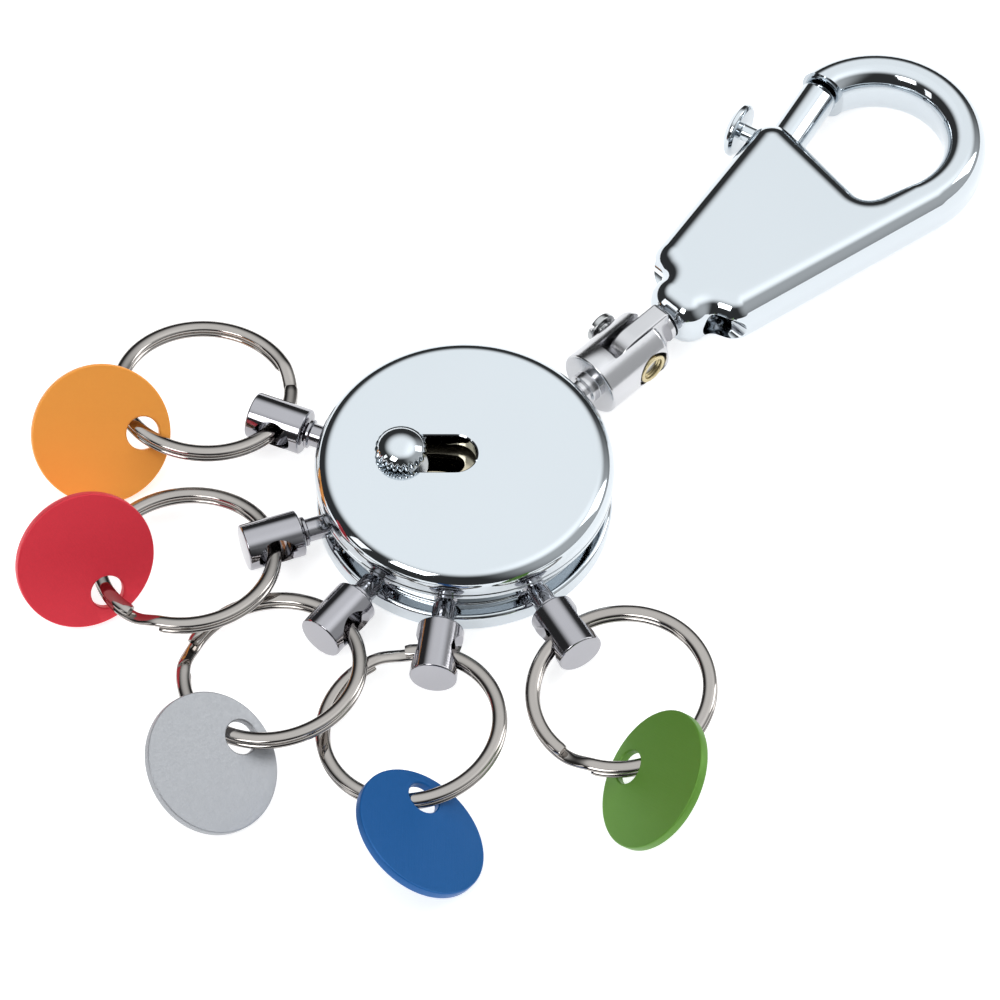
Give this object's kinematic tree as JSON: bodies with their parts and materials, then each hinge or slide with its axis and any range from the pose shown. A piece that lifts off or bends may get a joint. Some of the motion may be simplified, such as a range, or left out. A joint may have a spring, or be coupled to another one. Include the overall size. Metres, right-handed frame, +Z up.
{
  "type": "key organiser",
  "caption": "Round chromed drum with quick-release plugs carrying split rings and coloured tags, joined by a swivelling fork to a snap clip with a sliding gate.",
  "frame": {"origin": "centre of the drum's flat underside", "axes": "+Z up through the drum towards its slotted cover, +X from the drum's centre towards the snap clip"},
  "size_m": [0.1278, 0.0862, 0.0145],
  "materials": {
    "chrome": "mirror-bright chrome plate on die-cast metal",
    "dark_chrome": "turned steel, darker bright nickel plate",
    "nickel_steel": "bright nickel plated spring steel",
    "bright_steel": "plain bright steel",
    "satin_nickel": "satin nickel plate with turning marks",
    "brass": "bare brass",
    "anodised_orange": "satin orange anodised aluminium",
    "anodised_red": "satin red anodised aluminium",
    "anodised_clear": "satin clear anodised aluminium",
    "anodised_blue": "satin blue anodised aluminium",
    "anodised_green": "satin green anodised aluminium"
  },
  "bodies": {
    "drum": {"housing_base": "chrome", "top_cover": "chrome", "lock_spring": "bright_steel", "base_screw_1": "bright_steel", "base_screw_2": "bright_steel", "base_screw_3": "bright_steel"},
    "slider": {"slider_button": "chrome", "slider_washer": "bright_steel"},
    "lock": {"lock_ring": "satin_nickel"},
    "pin_orange": {"plug_stem_orange": "dark_chrome"},
    "head_orange": {"plug_head_orange": "dark_chrome"},
    "ring_orange": {"split_ring_orange": "nickel_steel"},
    "tag_orange": {"tag_orange": "anodised_orange"},
    "pin_red": {"plug_stem_red": "dark_chrome"},
    "head_red": {"plug_head_red": "dark_chrome"},
    "ring_red": {"split_ring_red": "nickel_steel"},
    "tag_red": {"tag_red": "anodised_red"},
    "pin_silver": {"plug_stem_silver": "dark_chrome"},
    "head_silver": {"plug_head_silver": "dark_chrome"},
    "ring_silver": {"split_ring_silver": "nickel_steel"},
    "tag_silver": {"tag_silver": "anodised_clear"},
    "pin_blue": {"plug_stem_blue": "dark_chrome"},
    "head_blue": {"plug_head_blue": "dark_chrome"},
    "ring_blue": {"split_ring_blue": "nickel_steel"},
    "tag_blue": {"tag_blue": "anodised_blue"},
    "pin_green": {"plug_stem_green": "dark_chrome"},
    "head_green": {"plug_head_green": "dark_chrome"},
    "ring_green": {"split_ring_green": "nickel_steel"},
    "tag_green": {"tag_green": "anodised_green"},
    "fork": {"fork": "satin_nickel", "fork_screw": "bright_steel", "fork_bush": "brass", "stem_clip": "bright_steel"},
    "tongue": {"tongue": "satin_nickel"},
    "clip": {"clip_body": "chrome", "gate_spring": "bright_steel"},
    "gate": {"gate_plunger": "chrome", "thumb_knob": "chrome"}
  },
  "joints": [
    {"name": "slider_slide", "type": "slide", "parent": "drum", "child": "slider", "axis": [0.7071, -0.7071, 0], "range_m": [0, 0.0054]},
    {"name": "lock_turn", "type": "hinge", "parent": "drum", "child": "lock", "pos_m": [0, 0, 0.0065], "axis": [0, 0, 1], "range_deg": [0, 16.6]},
    {"name": "pull_orange", "type": "slide", "parent": "drum", "child": "pin_orange", "axis": [-0.3778, 0.9259, 0], "range_m": [0, 0.008]},
    {"name": "spin_orange", "type": "hinge", "parent": "pin_orange", "child": "head_orange", "pos_m": [-0.00812, 0.01991, 0.004], "axis": [-0.3778, 0.9259, 0], "range_deg": [-150, 0]},
    {"name": "swing_orange", "type": "hinge", "parent": "head_orange", "child": "ring_orange", "pos_m": [-0.00812, 0.01991, 0.004], "axis": [0.9169, 0.3742, -0.1392], "range_deg": [-110, 110]},
    {"name": "tag_swing_orange", "type": "hinge", "parent": "ring_orange", "child": "tag_orange", "pos_m": [-0.01989, 0.02879, 0.00506], "axis": [0.0069, -0.9986, 0.0521], "range_deg": [-90, 90]},
    {"name": "pull_red", "type": "slide", "parent": "drum", "child": "pin_red", "axis": [-0.898, 0.4399, 0], "range_m": [0, 0.008]},
    {"name": "spin_red", "type": "hinge", "parent": "pin_red", "child": "head_red", "pos_m": [-0.01931, 0.00946, 0.004], "axis": [-0.898, 0.4399, 0], "range_deg": [0, 135]},
    {"name": "swing_red", "type": "hinge", "parent": "head_red", "child": "ring_red", "pos_m": [-0.01931, 0.00946, 0.004], "axis": [0.4357, 0.8893, -0.1392], "range_deg": [-5, 110]},
    {"name": "tag_swing_red", "type": "hinge", "parent": "ring_red", "child": "tag_red", "pos_m": [-0.03605, 0.01713, 0.00407], "axis": [-0.323, -0.9363, 0.1381], "range_deg": [-90, 90]},
    {"name": "pull_silver", "type": "slide", "parent": "drum", "child": "pin_silver", "axis": [-0.9923, -0.1236, 0], "range_m": [0, 0.008]},
    {"name": "spin_silver", "type": "hinge", "parent": "pin_silver", "child": "head_silver", "pos_m": [-0.02133, -0.00266, 0.004], "axis": [-0.9923, -0.1236, 0], "range_deg": [0, 135]},
    {"name": "swing_silver", "type": "hinge", "parent": "head_silver", "child": "ring_silver", "pos_m": [-0.02133, -0.00266, 0.004], "axis": [-0.1224, 0.9827, -0.1392], "range_deg": [-4, 5]},
    {"name": "tag_swing_silver", "type": "hinge", "parent": "ring_silver", "child": "tag_silver", "pos_m": [-0.03895, -0.0061, 0.00417], "axis": [0.4231, -0.8964, 0.1324], "range_deg": [-90, 90]},
    {"name": "pull_blue", "type": "slide", "parent": "drum", "child": "pin_blue", "axis": [-0.7955, -0.606, 0], "range_m": [0, 0.008]},
    {"name": "spin_blue", "type": "hinge", "parent": "pin_blue", "child": "head_blue", "pos_m": [-0.0171, -0.01303, 0.004], "axis": [-0.7955, -0.606, 0], "range_deg": [0, 135]},
    {"name": "swing_blue", "type": "hinge", "parent": "head_blue", "child": "ring_blue", "pos_m": [-0.0171, -0.01303, 0.004], "axis": [-0.6001, 0.7877, -0.1392], "range_deg": [-85, 4]},
    {"name": "tag_swing_blue", "type": "hinge", "parent": "ring_blue", "child": "tag_blue", "pos_m": [-0.03091, -0.02473, 0.00413], "axis": [0.7855, -0.604, 0.1344], "range_deg": [-90, 90]},
    {"name": "pull_green", "type": "slide", "parent": "drum", "child": "pin_green", "axis": [-0.2656, -0.9641, 0], "range_m": [0, 0.008]},
    {"name": "spin_green", "type": "hinge", "parent": "pin_green", "child": "head_green", "pos_m": [-0.00571, -0.02073, 0.004], "axis": [-0.2656, -0.9641, 0], "range_deg": [0, 150]},
    {"name": "swing_green", "type": "hinge", "parent": "head_green", "child": "ring_green", "pos_m": [-0.00571, -0.02073, 0.004], "axis": [-0.9547, 0.263, -0.1392], "range_deg": [-110, 110]},
    {"name": "tag_swing_green", "type": "hinge", "parent": "ring_green", "child": "tag_green", "pos_m": [-0.01275, -0.03705, 0.00366], "axis": [0.7642, -0.6324, 0.1271], "range_deg": [-90, 90]},
    {"name": "fork_spin", "type": "hinge", "parent": "drum", "child": "fork", "pos_m": [0.016, 0, 0.004], "axis": [1, 0, 0], "continuous": true},
    {"name": "tongue_fold", "type": "hinge", "parent": "fork", "child": "tongue", "pos_m": [0.0254, 0, 0.004], "axis": [0, -1, 0], "range_deg": [-90, 90]},
    {"name": "clip_swivel", "type": "hinge", "parent": "tongue", "child": "clip", "pos_m": [0.032, 0, 0.004], "axis": [1, 0, 0], "continuous": true},
    {"name": "gate_slide", "type": "slide", "parent": "clip", "child": "gate", "axis": [-0.9659, -0.2588, 0], "range_m": [0, 0.006], "stiffness_N_per_m": 120, "springref_m": -0.004, "deforming": ["gate_spring"]}
  ],
  "couplings": [
    {"joint": "lock_turn", "follows": "slider_slide", "rad_per_m": 53.33}
  ]
}
